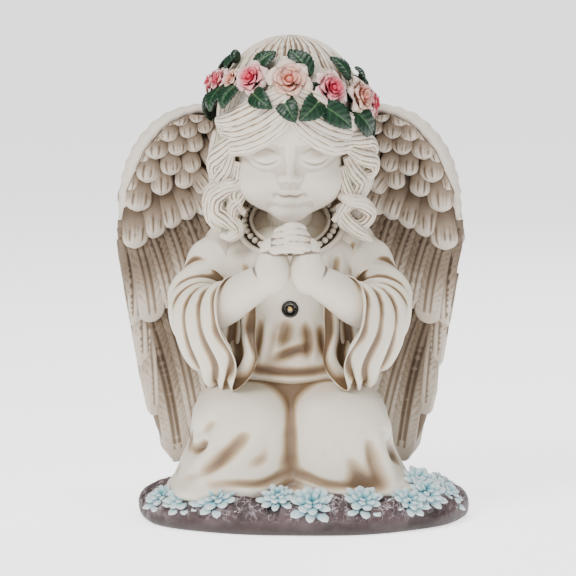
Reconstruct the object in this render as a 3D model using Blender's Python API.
"""Kneeling angel figurine in cast resin, with a solar lamp at its chest.

Metres, +Z up. The figure faces -Y. The origin is on the surface it stands on, below the
middle of the figure. Each casting is cut back from the casting it is glued to by GLUE_GAP.
"""

import math

import bmesh
import bpy
from mathutils import Matrix, Vector

# Clearances
GLUE_GAP = 0.0004  # between two castings that are glued together
REST_GAP = 0.0003  # between two flat faces that meet
HOLE_CLEARANCE = 0.0003  # on the radius, around anything round in a hole
SLIDE_CLEARANCE = 0.0004  # on each side of the switch's slider

# Rock base
BASE_HALF_WIDTH = 0.079
BASE_HALF_DEPTH = 0.062
BASE_ROOF = 0.0040  # thickness of the rock over the pocket
BASE_SHIFT = 0.004  # the rock reaches further to the figure's left hand
BASE_RIM_HEIGHT = 0.004
BASE_ROUNDNESS = 3.5  # exponent of the rock's cross-section
BASE_SIDES = 48

# Robe
SKIRT_HEIGHT = 0.051
SKIRT_HALF_WIDTH = 0.050
SKIRT_HALF_DEPTH = 0.040
KNEE_SPREAD = 0.0225  # from the middle to the centre of a thigh
KNEE_REACH = 0.0255  # how far the knees stand in front of the middle
KNEE_RADIUS = 0.0205
TORSO_HEIGHT = 0.0735
TORSO_HALF_WIDTH = 0.035
TORSO_HALF_DEPTH = 0.0265
TORSO_BACK_SHIFT = 0.004
ROBE_SIDES = 36
SHOULDER_RADIUS = 0.017
ELBOW_RADIUS = 0.015
CUFF_RADIUS = 0.0115
SLEEVE_DROP = 0.026  # from the elbow down to the hem of the hanging sleeve
SLEEVE_WALL = 0.0025
SLEEVE_SPREAD = 0.006  # of the elbows, beyond the torso's half width

# Neck and head
NECK_RADIUS = 0.0115
NECK_TENON = 0.012  # length of neck that goes down into the torso
HEAD_RISE = 0.054  # from the top of the torso to the centre of the skull
SKULL_HALF_WIDTH = 0.031
SKULL_HALF_DEPTH = 0.034
SKULL_HALF_HEIGHT = 0.036
JAW_HALF_WIDTH = 0.0215
JAW_HALF_HEIGHT = 0.0215
HAIR_THICKNESS = 0.0055
COLLAR_RADIUS = 0.0215
COLLAR_HALF_BAND = 0.0032
COLLAR_TILT = math.radians(33)

# Hands
HAND_REACH = 0.048  # from the middle to the palms
HAND_WIDTH = 0.0075
HAND_LENGTH = 0.021
WRIST_RADIUS = 0.0085

# Wings
WING_HALF_SPAN = 0.0885
WING_THICKNESS = 0.006
WING_RISE = 0.057  # of the wings' tops, over the neck
WING_INSET = 0.005  # of the wings' roots, into the torso's back
WING_HOLLOW = 0.013  # how far the middle of a wing bows to the back
WING_ROWS = 15
WING_COLUMNS = 7
PIN_RADIUS = 0.0015
PIN_LENGTH = 0.015
PIN_SPREAD = 0.012

# Wreath, worn as a ring tipped back and to one side
WREATH_PITCH = 0.34  # fall of the ring towards the back, per unit of depth
WREATH_ROLL = 0.10  # fall of the ring towards the figure's left hand, per unit of width
WREATH_RISE = 0.010  # of the ring's middle, over the centre of the skull
VINE_HALF_BAND = 0.0045
VINE_THICKNESS = 0.0012
LEAF_LENGTH = 0.0075
LEAF_COUNT = 20
ROSE_DEPTH = 0.0065
ROSES = (  # (angle from the front towards the figure's left hand in degrees, radius)
    (-90, 0.0070),
    (-68, 0.0062),
    (-49, 0.0054),
    (-27, 0.0076),
    (0, 0.0092),
    (28, 0.0079),
    (54, 0.0086),
    (80, 0.0070),
    (106, 0.0080),
    (133, 0.0075),
    (160, 0.0085),
    (188, 0.0080),
    (215, 0.0080),
    (242, 0.0082),
)

# Succulents on the rock
SUCCULENT_HEIGHT = 0.0065
SUCCULENT_PETALS = 9
SUCCULENTS = (  # (angle from the front towards the figure's left hand in degrees, radius)
    (-52, 0.0115),
    (-29, 0.0120),
    (-5, 0.0125),
    (17, 0.0105),
    (38, 0.0120),
    (58, 0.0120),
    (82, 0.0125),
    (108, 0.0120),
)
SUCCULENT_RING = 0.80  # share of the rock's half width and depth

# Lamp
LAMP_RADIUS = 0.0025
LAMP_LENGTH = 0.0062  # behind the dome
BEZEL_FLANGE_RADIUS = 0.0042
BEZEL_FLANGE = 0.0013
BEZEL_RADIUS = 0.0033
BEZEL_LENGTH = 0.0075
LAMP_HEIGHT = 0.035  # above the waist
LEAD_RADIUS = 0.0011
CHANNEL_RADIUS = 0.0022

# Electrics in the base
POCKET_HALF_WIDTH = 0.040
POCKET_HALF_DEPTH = 0.026
POCKET_SPARE = 0.0004  # height left over the tray
COVER_HALF_WIDTH = 0.050
COVER_HALF_DEPTH = 0.035
COVER_RADIUS = 0.005
COVER_THICKNESS = 0.0024
COVER_RECESS = 0.0010  # from the surface up to the cover
SCREW_INSET = 0.0048
SCREW_HEAD_RADIUS = 0.0023
SCREW_HEAD_HEIGHT = 0.0010
SCREW_RADIUS = 0.0013
SCREW_LENGTH = 0.0085
CELL_RADIUS = 0.00525
CELL_LENGTH = 0.0445
CELL_CAP_RADIUS = 0.0019
CELL_CAP_LENGTH = 0.0008
TRAY_WALL = 0.0013
TRAY_END_ROOM = 0.0020
TRAY_Y = -0.0140
COVER_TO_SWITCH = 0.0020
BOARD_WIDTH = 0.028
BOARD_DEPTH = 0.018
BOARD_THICKNESS = 0.0016
BOARD_Y = 0.0140
SWITCH_WIDTH = 0.0125
SWITCH_DEPTH = 0.0064
SWITCH_HEIGHT = 0.0050
SWITCH_TRAVEL = 0.0020
KNOB_WIDTH = 0.0040
KNOB_DEPTH = 0.0032
KNOB_STEM = 0.0016
KNOB_STEM_REACH = 0.0028

# Solar panel on the back of the skirt
PANEL_WIDTH = 0.036
PANEL_LENGTH = 0.028
PANEL_DEPTH = 0.0050
PANEL_TILT = math.radians(30)  # of its outward direction above the horizon
PANEL_RIM = 0.0022
GLASS_THICKNESS = 0.0016
PANEL_HEIGHT = 0.031  # of its middle, over the rock

# Heights and places worked out from the sizes above
COVER_Z = COVER_RECESS + COVER_THICKNESS
TRAY_HEIGHT = 2 * CELL_RADIUS + TRAY_WALL + 2 * REST_GAP
POCKET_ROOF = COVER_Z + REST_GAP + TRAY_HEIGHT + POCKET_SPARE
BASE_HEIGHT = POCKET_ROOF + BASE_ROOF
WAIST_Z = BASE_HEIGHT + SKIRT_HEIGHT
NECK_Z = WAIST_Z + TORSO_HEIGHT
SKULL = Vector((0, -0.004, NECK_Z + HEAD_RISE))
HAIR = Vector((0, 0.002, NECK_Z + HEAD_RISE + 0.003))
HAIR_RADII = Vector(
    (
        SKULL_HALF_WIDTH + HAIR_THICKNESS,
        SKULL_HALF_DEPTH + HAIR_THICKNESS,
        SKULL_HALF_HEIGHT + HAIR_THICKNESS - 0.003,
    )
)
LAMP_Z = WAIST_Z + LAMP_HEIGHT
LAMP_Y = TORSO_BACK_SHIFT - TORSO_HALF_DEPTH
WING_FOOT = BASE_HEIGHT + REST_GAP
WING_TOP = NECK_Z + WING_RISE
WING_ROOT_Y = TORSO_BACK_SHIFT + TORSO_HALF_DEPTH - WING_INSET
BOARD_X = BASE_SHIFT - 0.006
CHANNEL_Y = 0.010
SWITCH_Z = COVER_Z + COVER_TO_SWITCH  # underside of the switch's housing
BOARD_Z = SWITCH_Z + SWITCH_HEIGHT + REST_GAP

MATERIALS = {  # colour, roughness, metallic
    "resin_robe": ((0.78, 0.73, 0.65), 0.45, 0.0),
    "resin_skin": ((0.83, 0.79, 0.73), 0.42, 0.0),
    "resin_hair": ((0.80, 0.75, 0.68), 0.45, 0.0),
    "resin_wing": ((0.62, 0.56, 0.50), 0.50, 0.0),
    "rock": ((0.20, 0.15, 0.15), 0.70, 0.0),
    "rose_pink": ((0.80, 0.30, 0.36), 0.45, 0.0),
    "rose_pale": ((0.85, 0.66, 0.60), 0.45, 0.0),
    "leaf_green": ((0.05, 0.17, 0.08), 0.40, 0.0),
    "succulent_blue": ((0.58, 0.78, 0.82), 0.50, 0.0),
    "black_plastic": ((0.02, 0.02, 0.02), 0.35, 0.0),
    "lamp_resin": ((0.75, 0.55, 0.20), 0.10, 0.0),
    "steel": ((0.60, 0.60, 0.60), 0.30, 1.0),
    "board_green": ((0.03, 0.22, 0.10), 0.40, 0.0),
    "cell_sleeve": ((0.15, 0.35, 0.20), 0.35, 0.0),
    "solar_glass": ((0.02, 0.03, 0.08), 0.08, 0.0),
    "lead_jacket": ((0.30, 0.02, 0.02), 0.45, 0.0),
}


# ---------------------------------------------------------------- making solids


def clear_scene():
    for obj in list(bpy.data.objects):
        bpy.data.objects.remove(obj)


def material(name):
    found = bpy.data.materials.get(name)
    if found:
        return found
    colour, roughness, metallic = MATERIALS[name]
    made = bpy.data.materials.new(name)
    made.use_nodes = True
    shader = made.node_tree.nodes["Principled BSDF"]
    shader.inputs["Base Color"].default_value = (*colour, 1)
    shader.inputs["Roughness"].default_value = roughness
    shader.inputs["Metallic"].default_value = metallic
    made.diffuse_color = (*colour, 1)
    return made


def make(name, bm, material_name, smooth=True):
    """An object from a bmesh, with its faces pointing out."""
    bmesh.ops.recalc_face_normals(bm, faces=bm.faces)
    mesh = bpy.data.meshes.new(name)
    bm.to_mesh(mesh)
    bm.free()
    obj = bpy.data.objects.new(name, mesh)
    bpy.context.scene.collection.objects.link(obj)
    obj.data.materials.append(material(material_name))
    if smooth:
        mesh.shade_smooth()
    return obj


def bake(obj):
    """Applies the object's modifiers, so that its shape can cut another."""
    bpy.context.view_layer.update()
    graph = bpy.context.evaluated_depsgraph_get()
    mesh = bpy.data.meshes.new_from_object(obj.evaluated_get(graph))
    obj.modifiers.clear()
    obj.data = mesh


def combine(obj, other, operation):
    modifier = obj.modifiers.new(operation.lower(), "BOOLEAN")
    modifier.operation = operation
    modifier.object = other
    bake(obj)
    bpy.data.objects.remove(other)


def join(obj, *others):
    for other in others:
        combine(obj, other, "UNION")
    return obj


def cut(obj, *cutters):
    for cutter in cutters:
        combine(obj, cutter, "DIFFERENCE")
    return obj


def grown(obj, gap):
    """A copy of the object, larger by the gap all round."""
    bm = bmesh.new()
    bm.from_mesh(obj.data)
    bmesh.ops.remove_doubles(bm, verts=bm.verts, dist=0.00002)
    bm.normal_update()
    moves = [vertex.normal * gap for vertex in bm.verts]
    for vertex, move in zip(bm.verts, moves):
        vertex.co += move
    bm.transform(obj.matrix_world)
    return make(obj.name + "_room", bm, obj.data.materials[0].name)


def keep_clear(obj, *neighbours):
    """Cuts the object back from each neighbour by the glue gap, and keeps its largest part."""
    for neighbour in neighbours:
        cut(obj, grown(neighbour, GLUE_GAP))
    return keep_largest(obj)


def keep_largest(obj):
    bm = bmesh.new()
    bm.from_mesh(obj.data)
    bmesh.ops.remove_doubles(bm, verts=bm.verts, dist=0.000002)
    left = set(bm.verts)
    islands = []
    while left:
        island, edge = set(), [left.pop()]
        while edge:
            vertex = edge.pop()
            island.add(vertex)
            near = {link.other_vert(vertex) for link in vertex.link_edges} & left
            left -= near
            edge.extend(near)
        islands.append(island)
    largest = max(islands, key=len)
    loose = [vertex for island in islands if island is not largest for vertex in island]
    bmesh.ops.delete(bm, geom=loose, context="VERTS")
    bm.to_mesh(obj.data)
    bm.free()
    return obj


def skin_rings(bm, rings):
    """Joins rings of vertices into a closed tube, with a flat face at each end."""
    for low, high in zip(rings, rings[1:]):
        for i in range(len(low)):
            j = (i + 1) % len(low)
            bm.faces.new((low[i], low[j], high[j], high[i]))
    bm.faces.new(rings[0][::-1])
    bm.faces.new(rings[-1])


def loft(name, stations, sides, material_name):
    """A solid through level ellipses, each (height, middle x, middle y, half width, half depth)."""
    bm = bmesh.new()
    rings = []
    for z, mid_x, mid_y, half_x, half_y in stations:
        turns = [2 * math.pi * i / sides for i in range(sides)]
        rings.append(
            [
                bm.verts.new((mid_x + half_x * math.cos(a), mid_y + half_y * math.sin(a), z))
                for a in turns
            ]
        )
    skin_rings(bm, rings)
    return make(name, bm, material_name)


def ellipsoid(name, centre, radii, material_name, segments=24, rings=14):
    bm = bmesh.new()
    shape = Matrix.Translation(centre) @ Matrix.Diagonal((*radii, 1))
    bmesh.ops.create_uvsphere(bm, u_segments=segments, v_segments=rings, radius=1, matrix=shape)
    return make(name, bm, material_name)


def hull(name, balls, material_name):
    """The tightest solid round some balls, each (centre, radius)."""
    bm = bmesh.new()
    for centre, radius in balls:
        bmesh.ops.create_icosphere(
            bm, subdivisions=2, radius=radius, matrix=Matrix.Translation(centre)
        )
    done = bmesh.ops.convex_hull(bm, input=bm.verts)
    inside = set(done["geom_interior"]) | set(done["geom_unused"])
    spare = [item for item in inside if isinstance(item, bmesh.types.BMVert)]
    bmesh.ops.delete(bm, geom=spare, context="VERTS")
    wrapped = {item for item in done["geom"] if isinstance(item, bmesh.types.BMFace)}
    stray = [face for face in bm.faces if face not in wrapped]
    bmesh.ops.delete(bm, geom=stray, context="FACES_ONLY")
    loose = [edge for edge in bm.edges if not edge.link_faces]
    bmesh.ops.delete(bm, geom=loose, context="EDGES")
    return make(name, bm, material_name)


def block(name, centre, size, material_name, bevel=0.0):
    bm = bmesh.new()
    shape = Matrix.Translation(centre) @ Matrix.Diagonal((*size, 1))
    bmesh.ops.create_cube(bm, size=1, matrix=shape)
    if bevel:
        upright = [e for e in bm.edges if abs(e.verts[0].co.z - e.verts[1].co.z) > size[2] / 2]
        bmesh.ops.bevel(bm, geom=upright, offset=bevel, segments=4, profile=0.5, affect="EDGES")
    return make(name, bm, material_name, smooth=False)


def turned(name, profile, place, material_name, sides=24):
    """A solid of revolution about its own Z axis. The profile is a list of (radius, height)."""
    bm = bmesh.new()
    rings = []
    for radius, height in profile:
        turns = [2 * math.pi * i / sides for i in range(sides)]
        rings.append(
            [bm.verts.new((radius * math.cos(a), radius * math.sin(a), height)) for a in turns]
        )
    skin_rings(bm, rings)
    bm.transform(place)
    obj = make(name, bm, material_name)
    obj.data.set_sharp_from_angle(angle=math.radians(35))
    return obj


def tube(name, route, radius, material_name, sides=6):
    """A round wire along a smooth curve through the route's points."""
    spline_points = smooth_route(route)
    bm = bmesh.new()
    rings = []
    for i, point in enumerate(spline_points):
        before = spline_points[max(i - 1, 0)]
        after = spline_points[min(i + 1, len(spline_points) - 1)]
        along = (after - before).normalized()
        side = along.cross(Vector((1, 0, 0))).normalized()
        up = side.cross(along)
        turns = [2 * math.pi * k / sides for k in range(sides)]
        ring = [point + radius * (math.cos(a) * side + math.sin(a) * up) for a in turns]
        rings.append([bm.verts.new(corner) for corner in ring])
    skin_rings(bm, rings)
    return make(name, bm, material_name)


def smooth_route(route, steps=3):
    """Points on a Catmull-Rom curve through the route."""
    points = [Vector(p) for p in route]
    padded = [2 * points[0] - points[1], *points, 2 * points[-1] - points[-2]]
    found = []
    for p0, p1, p2, p3 in zip(padded, padded[1:], padded[2:], padded[3:]):
        for k in range(steps):
            t = k / steps
            found.append(
                0.5
                * (
                    2 * p1
                    + (p2 - p0) * t
                    + (2 * p0 - 5 * p1 + 4 * p2 - p3) * t**2
                    + (3 * p1 - p0 - 3 * p2 + p3) * t**3
                )
            )
    return [*found, points[-1]]


def facing(point, direction):
    """The place of a piece that stands on a point, with its own Z axis along a direction."""
    turn = Vector(direction).to_track_quat("Z", "Y").to_matrix().to_4x4()
    return Matrix.Translation(point) @ turn


# ---------------------------------------------------------------- castings


def base_height_at(x, y):
    """Height of the rock's upper surface."""
    share = min(math.hypot((x - BASE_SHIFT) / BASE_HALF_WIDTH, y / BASE_HALF_DEPTH), 1)
    rise = (1 - share**BASE_ROUNDNESS) ** (1 / BASE_ROUNDNESS)
    return BASE_RIM_HEIGHT + (BASE_HEIGHT - BASE_RIM_HEIGHT) * rise


def base_shell():
    """The rock, hollowed from below for the electrics and rebated for its cover."""
    stations = [(0, 0.965)]
    for step in range(6):
        angle = math.radians(90) * step / 6
        share = math.cos(angle) ** (2 / BASE_ROUNDNESS)
        rise = math.sin(angle) ** (2 / BASE_ROUNDNESS)
        stations.append((BASE_RIM_HEIGHT + (BASE_HEIGHT - BASE_RIM_HEIGHT) * rise, share))
    stations.append((BASE_HEIGHT, 0.18))
    rings = [
        (z, BASE_SHIFT, 0, share * BASE_HALF_WIDTH, share * BASE_HALF_DEPTH)
        for z, share in stations
    ]
    rock = loft("base_shell", rings, BASE_SIDES, "rock")
    pocket = block(
        "pocket",
        (BASE_SHIFT, 0, 0),
        (2 * POCKET_HALF_WIDTH, 2 * POCKET_HALF_DEPTH, 2 * POCKET_ROOF),
        "rock",
    )
    rebate = block(
        "rebate",
        (BASE_SHIFT, 0, 0),
        (
            2 * (COVER_HALF_WIDTH + REST_GAP),
            2 * (COVER_HALF_DEPTH + REST_GAP),
            2 * (COVER_Z + REST_GAP),
        ),
        "rock",
        bevel=COVER_RADIUS,
    )
    cut(rock, pocket, rebate)
    for x, y in screw_places():
        depth = COVER_Z + SCREW_LENGTH
        place = Matrix.Translation((x, y, 0))
        cut(rock, rod("pilot_hole", SCREW_RADIUS + HOLE_CLEARANCE, -0.001, depth, place))
    return rock


def rod(name, radius, low, high, place, material_name="steel", sides=12):
    return turned(name, [(radius, low), (radius, high)], place, material_name, sides)


def robe_skirt(rock):
    """The skirt over the folded legs: a flared body with a thigh on each side at the front."""
    stations = (  # share of the height, shift to the back, half width, half depth
        (-0.12, 0.001, 1.30, 1.24),
        (0.06, 0.002, 1.20, 1.19),
        (0.26, 0.004, 1.07, 1.10),
        (0.54, 0.006, 1.00, 1.00),
        (0.78, 0.006, 0.96, 0.86),
        (0.93, 0.005, 0.86, 0.77),
        (1.00, 0.004, 0.72, 0.68),
    )
    rings = [
        (
            BASE_HEIGHT + share * SKIRT_HEIGHT,
            0,
            shift,
            wide * SKIRT_HALF_WIDTH,
            deep * SKIRT_HALF_DEPTH,
        )
        for share, shift, wide, deep in stations
    ]
    skirt = loft("robe_skirt", rings, ROBE_SIDES, "resin_robe")
    for side in (-1, 1):
        hip = (side * 0.8 * KNEE_SPREAD, -0.2 * KNEE_REACH, BASE_HEIGHT + 0.62 * SKIRT_HEIGHT)
        knee = (side * KNEE_SPREAD, -KNEE_REACH, BASE_HEIGHT + 0.48 * SKIRT_HEIGHT)
        hem = (side * 1.2 * KNEE_SPREAD, -KNEE_REACH, BASE_HEIGHT)
        corner = (side * 1.85 * KNEE_SPREAD, -0.4 * KNEE_REACH, BASE_HEIGHT + 0.04 * SKIRT_HEIGHT)
        balls = (
            (hip, 0.88 * KNEE_RADIUS),
            (knee, KNEE_RADIUS),
            (hem, 0.94 * KNEE_RADIUS),
            (corner, 0.8 * KNEE_RADIUS),
        )
        join(skirt, hull("thigh", balls, "resin_robe"))
    return keep_clear(skirt, rock)


def robe_torso():
    stations = (  # share of the height, half width, half depth
        (0.0, 1.06, 1.02),
        (0.20, 0.97, 0.98),
        (0.42, 0.95, 1.00),
        (0.62, 1.00, 1.02),
        (0.80, 1.06, 0.96),
        (0.91, 0.94, 0.84),
        (0.97, 0.66, 0.66),
        (1.0, 0.50, 0.56),
    )
    low = WAIST_Z + REST_GAP
    rings = [
        (
            low + share * (NECK_Z - low),
            0,
            TORSO_BACK_SHIFT,
            wide * TORSO_HALF_WIDTH,
            deep * TORSO_HALF_DEPTH,
        )
        for share, wide, deep in stations
    ]
    return loft("robe_torso", rings, ROBE_SIDES, "resin_robe")


def head_forms(extra=0.0):
    """Skull, jaw and neck. The neck is a tenon that goes down into the torso."""
    skull_radii = (SKULL_HALF_WIDTH, SKULL_HALF_DEPTH, SKULL_HALF_HEIGHT)
    jaw_place = SKULL + Vector((0, -0.014, -0.025))
    jaw_radii = (JAW_HALF_WIDTH, 0.018, JAW_HALF_HEIGHT)
    neck_low = -HEAD_RISE - NECK_TENON - extra
    place = Matrix.Translation((0, TORSO_BACK_SHIFT - 0.002, SKULL.z))
    return (
        ellipsoid("head", SKULL, [r + extra for r in skull_radii], "resin_skin"),
        ellipsoid("jaw", jaw_place, [r + extra for r in jaw_radii], "resin_skin", 20, 12),
        rod("neck", NECK_RADIUS + extra, neck_low, 0, place, "resin_skin", 20),
    )


def head():
    """The head with a plain sleeping face: nose, closed lids and lips."""
    features = [
        ("nose", (0, -0.0305, -0.0195), (0.0040, 0.0050, 0.0052)),
        ("upper_lip", (0, -0.0308, -0.0305), (0.0058, 0.0018, 0.0015)),
        ("lower_lip", (0, -0.0305, -0.0329), (0.0044, 0.0019, 0.0016)),
        ("right_lid", (-0.0118, -0.0293, -0.0080), (0.0066, 0.0034, 0.0042)),
        ("left_lid", (0.0118, -0.0293, -0.0080), (0.0066, 0.0034, 0.0042)),
    ]
    face = join(*head_forms())
    for name, shift, radii in features:
        join(face, ellipsoid(name, SKULL + Vector(shift), radii, "resin_skin", 12, 8))
    return face


def hand(name, side):
    """A forearm and an upright palm, which meets the other hand's palm at the middle."""
    palm_x = side * 0.8 * HAND_WIDTH
    palm_z = NECK_Z - 0.018
    elbow_end = Vector((side * 0.032, -0.028, palm_z - 0.025))
    wrist = Vector((side * 0.0115, -HAND_REACH + 0.001, palm_z - 0.006))
    palm = Vector((palm_x, -HAND_REACH, palm_z))
    tips = Vector((side * 0.0036, -HAND_REACH + 0.001, palm_z + HAND_LENGTH))
    arm_balls = ((elbow_end, WRIST_RADIUS + 0.0003), (wrist, WRIST_RADIUS))
    palm_balls = ((wrist, WRIST_RADIUS - 0.0008), (palm, HAND_WIDTH), (tips, 0.0042))
    arm = hull(name, arm_balls, "resin_skin")
    join(arm, hull("palm", palm_balls, "resin_skin"))
    half_place = (-side * (0.05 - REST_GAP / 2), 0, palm_z)
    half = block("other_side", half_place, (0.1, 0.4, 0.4), "resin_skin")
    return keep_largest(cut(arm, half))


def sleeve(name, side, neighbours):
    """A bell sleeve: the upper arm, and the forearm with the cloth that hangs from it."""
    elbow_z = NECK_Z - 0.045
    hem_z = elbow_z - SLEEVE_DROP
    shoulder = Vector((side * (TORSO_HALF_WIDTH - 0.004), TORSO_BACK_SHIFT, NECK_Z - 0.015))
    elbow = Vector((side * (TORSO_HALF_WIDTH + SLEEVE_SPREAD), -0.010, elbow_z + 0.002))
    wrist = Vector((side * 0.024, -0.036, elbow_z + 0.010))
    outer_hem = Vector((side * (TORSO_HALF_WIDTH + SLEEVE_SPREAD), -0.018, hem_z + 0.006))
    inner_hem = Vector((side * 0.027, -0.036, hem_z + 0.008))
    made = hull(name, ((shoulder, SHOULDER_RADIUS), (elbow, ELBOW_RADIUS)), "resin_robe")
    drape = (
        (elbow, ELBOW_RADIUS - 0.001),
        (wrist, CUFF_RADIUS),
        (outer_hem, 0.009),
        (inner_hem, 0.006),
    )
    join(made, hull("drape", drape, "resin_robe"))
    ahead = (wrist - elbow).normalized()
    hollow = (
        (wrist + 0.006 * ahead, CUFF_RADIUS - SLEEVE_WALL),
        (elbow.lerp(wrist, 0.45), CUFF_RADIUS - SLEEVE_WALL),
        (inner_hem + 0.008 * ahead, 0.006 - SLEEVE_WALL / 2),
        (outer_hem.lerp(inner_hem, 0.5), 0.007 - SLEEVE_WALL / 2),
    )
    cut(made, hull("hollow", hollow, "resin_robe"))
    return keep_clear(made, *neighbours)


def hair(neighbours):
    """The hair: a cap over the skull, open at the face, with curls down to the shoulders."""
    cap = ellipsoid("hair", HAIR, HAIR_RADII, "resin_hair", 28, 16)
    back_place = HAIR + Vector((0, 0.010, -0.026))
    back = ellipsoid("back_hair", back_place, (0.031, 0.023, 0.030), "resin_hair", 20, 12)
    join(cap, back)
    for side in (-1, 1):
        upper = HAIR + Vector((side * 0.0315, -0.012, -0.018))
        middle = HAIR + Vector((side * 0.0325, -0.010, -0.036))
        lower = HAIR + Vector((side * 0.0290, -0.012, -0.050))
        inner = HAIR + Vector((side * 0.022, 0.004, -0.045))
        balls = ((upper, 0.009), (middle, 0.009), (lower, 0.0075), (inner, 0.008))
        join(cap, hull("curls", balls, "resin_hair"))
    window_place = HAIR + Vector((0, -0.040, -0.036))
    window = ellipsoid("window", window_place, (0.0265, 0.034, 0.036), "resin_hair")
    cut(cap, window, *head_forms(GLUE_GAP))
    return keep_clear(cap, *neighbours)


def collar(torso, hands):
    """A ring round the neckline, tipped forward, which carries the beads."""
    bm = bmesh.new()
    around, across = 32, 8
    place = Matrix.Translation((0, 0, NECK_Z + 0.0015)) @ Matrix.Rotation(COLLAR_TILT, 4, "X")
    rings = []
    for i in range(around):
        turn = 2 * math.pi * i / around
        out = Vector((math.cos(turn), math.sin(turn), 0))
        ring = []
        for k in range(across):
            roll = 2 * math.pi * k / across
            spot = out * (COLLAR_RADIUS + COLLAR_HALF_BAND * math.cos(roll))
            spot.z = COLLAR_HALF_BAND * math.sin(roll)
            ring.append(bm.verts.new(place @ spot))
        rings.append(ring)
    for i in range(around):
        low, high = rings[i], rings[(i + 1) % around]
        for k in range(across):
            m = (k + 1) % across
            bm.faces.new((low[k], low[m], high[m], high[k]))
    band = cut(make("collar_band", bm, "resin_robe"), *head_forms(GLUE_GAP))
    return keep_clear(band, torso, *hands)


def wing_edges(share):
    """The inner and outer edge of a wing, as shares of its half span, at a share of its height."""
    rows = (
        (0.00, 0.58, 0.66),
        (0.10, 0.44, 0.755),
        (0.28, 0.26, 0.82),
        (0.44, 0.10, 0.905),
        (0.58, 0.045, 0.975),
        (0.70, 0.045, 1.00),
        (0.80, 0.12, 0.965),
        (0.90, 0.25, 0.90),
        (0.97, 0.36, 0.79),
        (1.00, 0.46, 0.66),
    )
    for (low, in_low, out_low), (high, in_high, out_high) in zip(rows, rows[1:]):
        if share <= high:
            t = (share - low) / (high - low)
            return in_low + t * (in_high - in_low), out_low + t * (out_high - out_low)
    return rows[-1][1:]


def wing_middle(reach):
    """How far back the middle of a wing's thickness is, at a share of the half span."""
    return WING_ROOT_Y + WING_HOLLOW * math.sin(math.pi * min(reach, 1) ** 0.8)


def wing(name, side, neighbours):
    """A slab bowed to the back between its root and its outer edge."""
    bm = bmesh.new()
    rings = []
    for row in range(WING_ROWS + 1):
        share = 0.5 - 0.5 * math.cos(math.pi * row / WING_ROWS)
        z = WING_FOOT + share * (WING_TOP - WING_FOOT)
        inner, outer = wing_edges(share)
        front, back = [], []
        for column in range(WING_COLUMNS + 1):
            t = column / WING_COLUMNS
            reach = inner + t * (outer - inner)
            middle = wing_middle(reach)
            rounding = math.sqrt(max(1 - abs(2 * t - 1) ** 4, 0.12))
            half = WING_THICKNESS / 2 * rounding
            x = side * reach * WING_HALF_SPAN
            front.append(bm.verts.new((x, middle - half, z)))
            back.append(bm.verts.new((x, middle + half, z)))
        rings.append([*front, *reversed(back)])
    skin_rings(bm, rings)
    return keep_clear(make(name, bm, "resin_wing"), *neighbours)


def wing_pin(name, side, torso, feather_casting):
    """A steel dowel between the torso and a wing, with a blind hole for it in each."""
    height = WAIST_Z + 0.66 * TORSO_HEIGHT
    half = PIN_LENGTH / 2
    back_end = wing_middle(PIN_SPREAD / WING_HALF_SPAN)
    place = Matrix.Translation((side * PIN_SPREAD, back_end - half, height))
    place = place @ Matrix.Rotation(math.radians(90), 4, "X")
    for casting in (torso, feather_casting):
        hole = rod("pin_hole", PIN_RADIUS + HOLE_CLEARANCE, -half - REST_GAP, half + REST_GAP, place)
        cut(casting, hole)
    return rod(name, PIN_RADIUS, -half, half, place)


# ---------------------------------------------------------------- wreath and plants


def hair_point(direction, lift=0.0):
    """Where a ray from the middle of the hair leaves it, and the hair's outward direction there."""
    scaled = Vector([d / r for d, r in zip(direction, HAIR_RADII)])
    point = Vector(direction) / scaled.length
    normal = Vector([p / r**2 for p, r in zip(point, HAIR_RADII)]).normalized()
    return HAIR + point + normal * lift, normal


def wreath_direction(angle, shift=0.0):
    """From the middle of the hair towards the wreath's ring, at an angle from the front."""
    x, y = math.sin(angle), -math.cos(angle)
    rise = WREATH_RISE / HAIR_RADII.x - WREATH_PITCH * y - WREATH_ROLL * x
    direction = Vector((x, y, rise)).normalized()
    upward = Vector((0, 0, 1)) - direction * direction.z
    return (direction + upward.normalized() * shift).normalized()


def leaf_reach(angle):
    """Height of the leaves' outline over the vine's edge, which is one leaf after another."""
    phase = (angle / (2 * math.pi) * LEAF_COUNT) % 1
    return LEAF_LENGTH * math.sin(math.pi * phase) ** 0.7 * (0.35 + 0.65 * phase)


def wreath_vine():
    """A thin leafy band round the hair, which the roses are glued on."""
    bm = bmesh.new()
    around = LEAF_COUNT * 4
    rings = []
    for i in range(around):
        angle = 2 * math.pi * i / around
        upper = (VINE_HALF_BAND + leaf_reach(angle)) / HAIR_RADII.x
        lower = (VINE_HALF_BAND + leaf_reach(angle + math.pi / LEAF_COUNT)) / HAIR_RADII.x
        shifts = (upper, upper / 2, 0, -lower / 2, -lower)
        inner = [(shift, REST_GAP) for shift in shifts]
        outer = [(shift, REST_GAP + VINE_THICKNESS) for shift in (-lower, 0, upper)]
        ring = []
        for shift, lift in (*inner, *outer):
            spot, _ = hair_point(wreath_direction(angle, shift), lift)
            ring.append(bm.verts.new(spot))
        rings.append(ring)
    count = len(rings[0])
    for i in range(around):
        low, high = rings[i], rings[(i + 1) % around]
        for k in range(count):
            m = (k + 1) % count
            bm.faces.new((low[k], low[m], high[m], high[k]))
    return make("wreath_vine", bm, "leaf_green")


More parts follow.
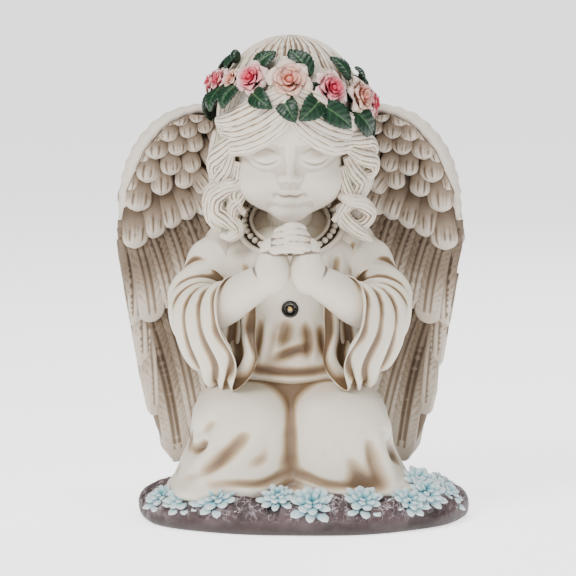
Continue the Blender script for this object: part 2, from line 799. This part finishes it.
def rose(name, angle, radius):
    """A domed blossom that stands on the vine."""
    lift = 3 * REST_GAP + VINE_THICKNESS
    point, normal = hair_point(wreath_direction(math.radians(angle)), lift)
    profile = (
        (0.70 * radius, 0),
        (radius, 0.35 * ROSE_DEPTH),
        (0.80 * radius, 0.78 * ROSE_DEPTH),
        (0.30 * radius, ROSE_DEPTH),
    )
    colour = "rose_pink" if round(angle / 27) % 2 else "rose_pale"
    return turned(name, profile, facing(point, normal), colour, sides=12)


def succulent(name, angle, radius, neighbours):
    """A rosette of pointed petals, flat below, on the slope of the rock."""
    turn = math.radians(angle)
    x = BASE_SHIFT + SUCCULENT_RING * BASE_HALF_WIDTH * math.sin(turn)
    y = -SUCCULENT_RING * BASE_HALF_DEPTH * math.cos(turn)
    step = 0.001
    slope = Vector(
        (
            base_height_at(x - step, y) - base_height_at(x + step, y),
            base_height_at(x, y - step) - base_height_at(x, y + step),
            2 * step,
        )
    ).normalized()
    point = Vector((x, y, base_height_at(x, y)))
    bm = bmesh.new()
    rings = []
    sides = 2 * SUCCULENT_PETALS
    for share, rise, wave in ((0.72, 0.0, 0.10), (1.0, 0.35, 0.16), (0.62, 0.8, 0.10), (0.2, 1.0, 0)):
        ring = []
        for i in range(sides):
            a = 2 * math.pi * i / sides
            reach = radius * share * (1 - wave + wave * math.cos(SUCCULENT_PETALS * a))
            z = rise * SUCCULENT_HEIGHT
            ring.append(bm.verts.new((reach * math.cos(a), reach * math.sin(a), z)))
        rings.append(ring)
    skin_rings(bm, rings)
    tilt = (slope + Vector((0, 0, 1))).normalized()
    bm.transform(facing(point - tilt * 0.0010, tilt))
    return keep_clear(make(name, bm, "succulent_blue"), *neighbours)


# ---------------------------------------------------------------- lamp and electrics


def screw_places():
    for x in (-1, 1):
        for y in (-1, 1):
            yield (
                BASE_SHIFT + x * (COVER_HALF_WIDTH - SCREW_INSET),
                y * (COVER_HALF_DEPTH - SCREW_INSET),
            )


def base_cover():
    """The plate under the electrics, with counterbored screw holes and the switch's slot."""
    size = (2 * COVER_HALF_WIDTH, 2 * COVER_HALF_DEPTH, COVER_THICKNESS)
    middle = (BASE_SHIFT, 0, COVER_RECESS + COVER_THICKNESS / 2)
    plate = block("base_cover", middle, size, "black_plastic", bevel=COVER_RADIUS)
    for x, y in screw_places():
        place = Matrix.Translation((x, y, COVER_RECESS))
        seat = SCREW_HEAD_HEIGHT + 2 * REST_GAP
        cut(
            plate,
            rod("screw_hole", SCREW_RADIUS + HOLE_CLEARANCE, -0.001, 0.01, place),
            rod("screw_seat", SCREW_HEAD_RADIUS + HOLE_CLEARANCE, -0.001, seat, place),
        )
    slot_size = (
        KNOB_WIDTH + SWITCH_TRAVEL + 2 * SLIDE_CLEARANCE,
        KNOB_DEPTH + 2 * SLIDE_CLEARANCE,
        0.02,
    )
    return cut(plate, block("slot", (BOARD_X, BOARD_Y, 0), slot_size, "black_plastic"))


def cover_screw(name, x, y):
    """A pan-head screw with a cross recess, driven from below."""
    place = Matrix.Translation((x, y, COVER_RECESS + REST_GAP))
    profile = (
        (SCREW_HEAD_RADIUS, 0),
        (SCREW_HEAD_RADIUS, SCREW_HEAD_HEIGHT),
        (SCREW_RADIUS, SCREW_HEAD_HEIGHT),
        (SCREW_RADIUS, SCREW_LENGTH),
        (0.3 * SCREW_RADIUS, SCREW_LENGTH + SCREW_RADIUS),
    )
    made = turned(name, profile, place, "steel", sides=12)
    middle = (x, y, COVER_RECESS)
    recess = 2 * (REST_GAP + 0.6 * SCREW_HEAD_HEIGHT)
    cut(made, block("slot_a", middle, (2.4 * SCREW_RADIUS, 0.0006, recess), "steel"))
    return cut(made, block("slot_b", middle, (0.0006, 2.4 * SCREW_RADIUS, recess), "steel"))


def battery_tray():
    """An upturned trough on the roof of the pocket, open below to take the cell."""
    inner_length = CELL_LENGTH + TRAY_END_ROOM
    inner_width = 2 * (CELL_RADIUS + REST_GAP)
    low = COVER_Z + REST_GAP
    high = low + TRAY_HEIGHT
    middle = (BASE_SHIFT, TRAY_Y, (low + high) / 2)
    size = (inner_length + 2 * TRAY_WALL, inner_width + 2 * TRAY_WALL, high - low)
    tray = block("battery_tray", middle, size, "black_plastic")
    well = block(
        "well",
        (BASE_SHIFT, TRAY_Y, high - TRAY_WALL - 0.01),
        (inner_length, inner_width, 0.02),
        "black_plastic",
    )
    return cut(tray, well)


def battery_cell():
    """A rechargeable cell with its raised positive cap."""
    z = COVER_Z + 2 * REST_GAP + CELL_RADIUS
    place = Matrix.Translation((BASE_SHIFT, TRAY_Y, z)) @ Matrix.Rotation(math.radians(90), 4, "Y")
    half = CELL_LENGTH / 2
    shoulder = half - CELL_CAP_LENGTH
    profile = (
        (0.92 * CELL_RADIUS, -half),
        (CELL_RADIUS, 0.03 * CELL_LENGTH - half),
        (CELL_RADIUS, shoulder - 0.03 * CELL_LENGTH),
        (0.92 * CELL_RADIUS, shoulder),
        (CELL_CAP_RADIUS, shoulder),
        (CELL_CAP_RADIUS, half),
    )
    return turned("battery_cell", profile, place, "cell_sleeve", sides=20)


def circuit_board():
    middle = (BOARD_X, BOARD_Y, BOARD_Z + BOARD_THICKNESS / 2)
    return block("circuit_board", middle, (BOARD_WIDTH, BOARD_DEPTH, BOARD_THICKNESS), "board_green")


def switch_body():
    """The slide switch's housing under the board, with a slot for the slider's stem."""
    middle = (BOARD_X, BOARD_Y, SWITCH_Z + SWITCH_HEIGHT / 2)
    housing = block("switch_body", middle, (SWITCH_WIDTH, SWITCH_DEPTH, SWITCH_HEIGHT), "steel")
    slot_size = (
        KNOB_STEM + SWITCH_TRAVEL + 2 * SLIDE_CLEARANCE,
        KNOB_STEM + 2 * SLIDE_CLEARANCE,
        2 * (KNOB_STEM_REACH + SLIDE_CLEARANCE),
    )
    return cut(housing, block("stem_slot", (BOARD_X, BOARD_Y, SWITCH_Z), slot_size, "steel"))


def switch_slider():
    """The slider, at its off end. Its origin is the middle of its travel's off end."""
    knob_low = COVER_RECESS + REST_GAP
    knob_high = SWITCH_Z - SLIDE_CLEARANCE
    stem_high = SWITCH_Z + KNOB_STEM_REACH
    knob = block(
        "switch_slider",
        (0, 0, (knob_high - knob_low) / 2),
        (KNOB_WIDTH, KNOB_DEPTH, knob_high - knob_low),
        "black_plastic",
    )
    stem_length = stem_high - knob_low - 0.001
    stem_middle = (0, 0, 0.001 + stem_length / 2)
    join(knob, block("stem", stem_middle, (KNOB_STEM, KNOB_STEM, stem_length), "black_plastic"))
    knob.location = (BOARD_X - SWITCH_TRAVEL / 2, BOARD_Y, knob_low)
    return knob


def lamp_place():
    """Where the lamp's bezel meets the front of the torso. Its own Z axis points out."""
    front = Vector((0, LAMP_Y, LAMP_Z))
    return facing(front, (0, -1, 0.12))


def led_bezel(torso):
    """The black holder in the chest, with its hole in the torso."""
    place = lamp_place()
    low = -BEZEL_LENGTH
    room = rod("bezel_hole", BEZEL_RADIUS + HOLE_CLEARANCE, low - 0.001, 0.01, place, sides=24)
    seat = rod("bezel_seat", BEZEL_FLANGE_RADIUS + HOLE_CLEARANCE, -0.0006, 0.01, place, sides=24)
    cut(torso, room, seat)
    profile = (
        (BEZEL_RADIUS, low),
        (BEZEL_RADIUS, -REST_GAP),
        (BEZEL_FLANGE_RADIUS, -REST_GAP),
        (BEZEL_FLANGE_RADIUS, 0.6 * BEZEL_FLANGE),
        (0.92 * BEZEL_FLANGE_RADIUS, BEZEL_FLANGE),
    )
    holder = turned("led_bezel", profile, place, "black_plastic")
    bore = rod("bezel_bore", LAMP_RADIUS + HOLE_CLEARANCE, low - 0.001, 0.01, place, sides=20)
    return cut(holder, bore)


def led_lamp():
    """The lamp: a round body with a domed end."""
    profile = [(LAMP_RADIUS, -LAMP_LENGTH), (LAMP_RADIUS, 0)]
    for step in range(1, 5):
        angle = math.radians(90) * step / 5
        profile.append((LAMP_RADIUS * math.cos(angle), 0.7 * LAMP_RADIUS * math.sin(angle)))
    return turned("led_lamp", profile, lamp_place(), "lamp_resin", sides=16)


def lead_routes():
    """The two leads, each from the board up to what it feeds."""
    top = BOARD_Z + BOARD_THICKNESS + REST_GAP
    rear = lamp_place() @ Vector((0, 0, -LAMP_LENGTH - REST_GAP))
    lamp_route = (
        rear,
        rear + Vector((0, 0.005, -0.0006)),
        Vector((0, CHANNEL_Y - 0.002, LAMP_Z - 0.006)),
        Vector((0, CHANNEL_Y, LAMP_Z - 0.014)),
        Vector((0, CHANNEL_Y, WAIST_Z)),
        Vector((0, CHANNEL_Y, BASE_HEIGHT + 0.006)),
        Vector((0, CHANNEL_Y, top)),
    )
    back = panel_place() @ Vector((0, 0, -PANEL_DEPTH - REST_GAP))
    inward = panel_place().to_3x3() @ Vector((0, 0, -1))
    panel_route = (
        back,
        back + inward * 0.004,
        Vector((0, 0.022, BASE_HEIGHT + 0.016)),
        Vector((0, 0.0195, BASE_HEIGHT + 0.008)),
        Vector((0, 0.0190, BASE_HEIGHT - 0.003)),
        Vector((0, 0.0190, top)),
    )
    return lamp_route, panel_route


def cut_channel(route, castings):
    """Bores a channel for a lead through each casting, a little past both of its ends."""
    start = route[0] + (route[0] - route[1]).normalized() * 0.002
    end = route[-1] + (route[-1] - route[-2]).normalized() * 0.001
    for casting in castings:
        cut(casting, tube("channel", (start, *route, end), CHANNEL_RADIUS, "steel", sides=8))


def panel_place():
    """The middle of the solar panel's front, on the slope of the skirt's back."""
    z = BASE_HEIGHT + PANEL_HEIGHT
    y = 0.0075 + SKIRT_HALF_DEPTH
    return facing((0, y, z), (0, math.cos(PANEL_TILT), math.sin(PANEL_TILT)))


def boxed(name, place, size, low, high, material_name):
    bm = bmesh.new()
    shape = Matrix.Translation((0, 0, (low + high) / 2)) @ Matrix.Diagonal((*size, high - low, 1))
    bmesh.ops.create_cube(bm, size=1, matrix=place @ shape)
    return make(name, bm, material_name, smooth=False)


def solar_panel(skirt):
    """The panel's frame in a recess of the skirt, and the glass in the frame."""
    place = panel_place()
    room = (PANEL_WIDTH + 2 * GLUE_GAP, PANEL_LENGTH + 2 * GLUE_GAP)
    cut(skirt, boxed("panel_room", place, room, -PANEL_DEPTH - GLUE_GAP, 0.03, "black_plastic"))
    frame = boxed("solar_frame", place, (PANEL_WIDTH, PANEL_LENGTH), -PANEL_DEPTH, 0, "black_plastic")
    well = (PANEL_WIDTH - 2 * PANEL_RIM, PANEL_LENGTH - 2 * PANEL_RIM)
    floor = -GLASS_THICKNESS - REST_GAP
    cut(frame, boxed("glass_room", place, well, floor, 0.01, "black_plastic"))
    glass = (well[0] - 2 * REST_GAP, well[1] - 2 * REST_GAP)
    pane = boxed("solar_glass", place, glass, floor + REST_GAP, -REST_GAP, "solar_glass")
    return frame, pane


# ---------------------------------------------------------------- assembly


def build():
    clear_scene()
    rock = base_shell()
    skirt = robe_skirt(rock)
    torso = robe_torso()
    head()
    cut(torso, *head_forms(GLUE_GAP))
    hands = [hand("right_hand", -1), hand("left_hand", 1)]
    band = collar(torso, hands)
    sleeves = [
        sleeve("right_sleeve", -1, [torso, skirt, hands[0], band]),
        sleeve("left_sleeve", 1, [torso, skirt, hands[1], band]),
    ]
    locks = hair([torso, band, *sleeves])
    around_wings = [torso, skirt, locks, rock, wreath_vine()]
    for number, (angle, radius) in enumerate(ROSES, 1):
        blossom = rose(f"rose_{number:02d}", angle, radius)
        if 90 < angle < 270:
            around_wings.append(blossom)
    for name, side, arm in (("right", -1, sleeves[0]), ("left", 1, sleeves[1])):
        feathers = wing(name + "_wing", side, [*around_wings, arm])
        wing_pin(name + "_wing_pin", side, torso, feathers)
    grown_plants = []
    for number, (angle, radius) in enumerate(SUCCULENTS, 1):
        near = [rock, skirt, *grown_plants[-1:]]
        grown_plants.append(succulent(f"succulent_{number}", angle, radius, near))
    led_bezel(torso)
    led_lamp()
    solar_panel(skirt)
    lamp_route, panel_route = lead_routes()
    cut_channel(lamp_route, (torso, skirt, rock))
    cut_channel(panel_route, (skirt, rock))
    tube("led_lead", lamp_route, LEAD_RADIUS, "lead_jacket")
    tube("solar_lead", panel_route, LEAD_RADIUS, "lead_jacket")
    base_cover()
    for number, (x, y) in enumerate(screw_places(), 1):
        cover_screw(f"cover_screw_{number}", x, y)
    battery_tray()
    battery_cell()
    circuit_board()
    switch_body()
    switch_slider()


build()
